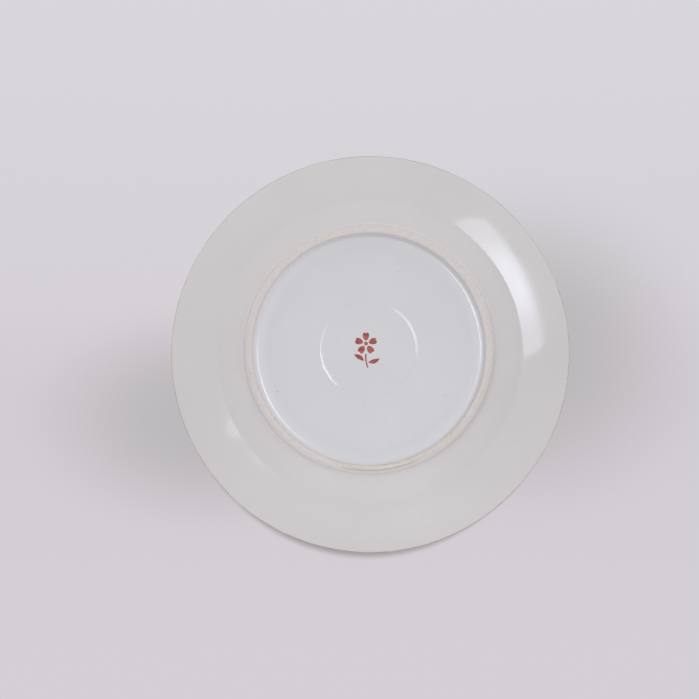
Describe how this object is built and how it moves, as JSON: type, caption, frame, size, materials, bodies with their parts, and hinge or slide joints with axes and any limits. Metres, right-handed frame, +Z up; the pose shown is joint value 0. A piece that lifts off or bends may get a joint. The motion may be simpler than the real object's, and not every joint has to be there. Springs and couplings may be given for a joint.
{
  "type": "dinner plate",
  "caption": "Round china dinner plate with a wide sloping rim, a flat well, a bare foot ring underneath, glaze inside and out, a gilt lip line and a small printed mark on its base.",
  "frame": {"origin": "centre of the circle that the foot ring stands on, on the table's surface", "axes": "+Z up through the well, along the plate's axis; +Y towards the top of the printed mark on the base"},
  "size_m": [0.2602, 0.2602, 0.027],
  "materials": {
    "clay": "unglazed, dry and slightly rough, warm off-white",
    "glaze_base": "gloss, cool white",
    "glaze_outer": "gloss, warm white",
    "gilding": "thin burnished line, worn",
    "enamel": "iron-red overglaze, satin"
  },
  "bodies": {
    "root": {"clay_body": "clay", "base_glaze": "glaze_base", "outer_glaze": "glaze_outer", "lip_gilding": "gilding", "mark_centre": "enamel", "mark_petal_1": "enamel", "mark_petal_2": "enamel", "mark_petal_3": "enamel", "mark_petal_4": "enamel", "mark_petal_5": "enamel", "mark_stem": "enamel", "mark_leaf_upper": "enamel", "mark_leaf_lower": "enamel"}
  },
  "joints": []
}
